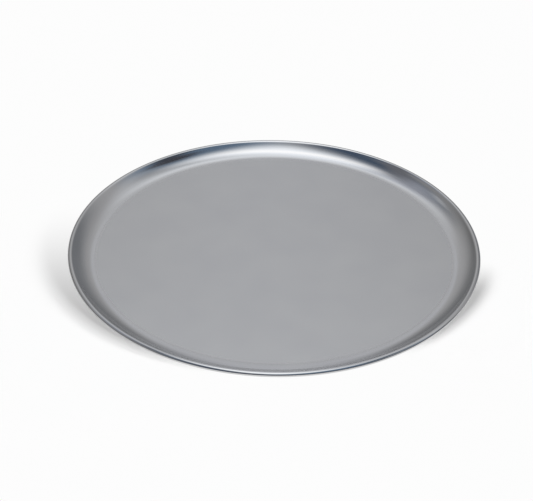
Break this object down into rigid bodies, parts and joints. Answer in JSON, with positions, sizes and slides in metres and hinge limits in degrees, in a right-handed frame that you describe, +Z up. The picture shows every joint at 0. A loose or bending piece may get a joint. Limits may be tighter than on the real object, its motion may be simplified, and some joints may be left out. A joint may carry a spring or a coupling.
{
  "type": "serving tray",
  "caption": "Round, shallow stainless steel serving tray: a pressed pan with a swept-up wall, a flat-crowned rim and an edge rolled round a stiffening wire.",
  "frame": {"origin": "middle of the underside, on the surface that the tray stands on", "axes": "+Z up along the tray's axis, -Y towards the front of the picture, +X to its right"},
  "size_m": [0.35, 0.35, 0.0082],
  "materials": {
    "satin_steel": "fine satin floor, wall polished round the tray, bright rolled edge",
    "wire_steel": "drawn wire, dull grey"
  },
  "bodies": {
    "root": {"tray_pan": "satin_steel", "rim_wire": "wire_steel"}
  },
  "joints": []
}
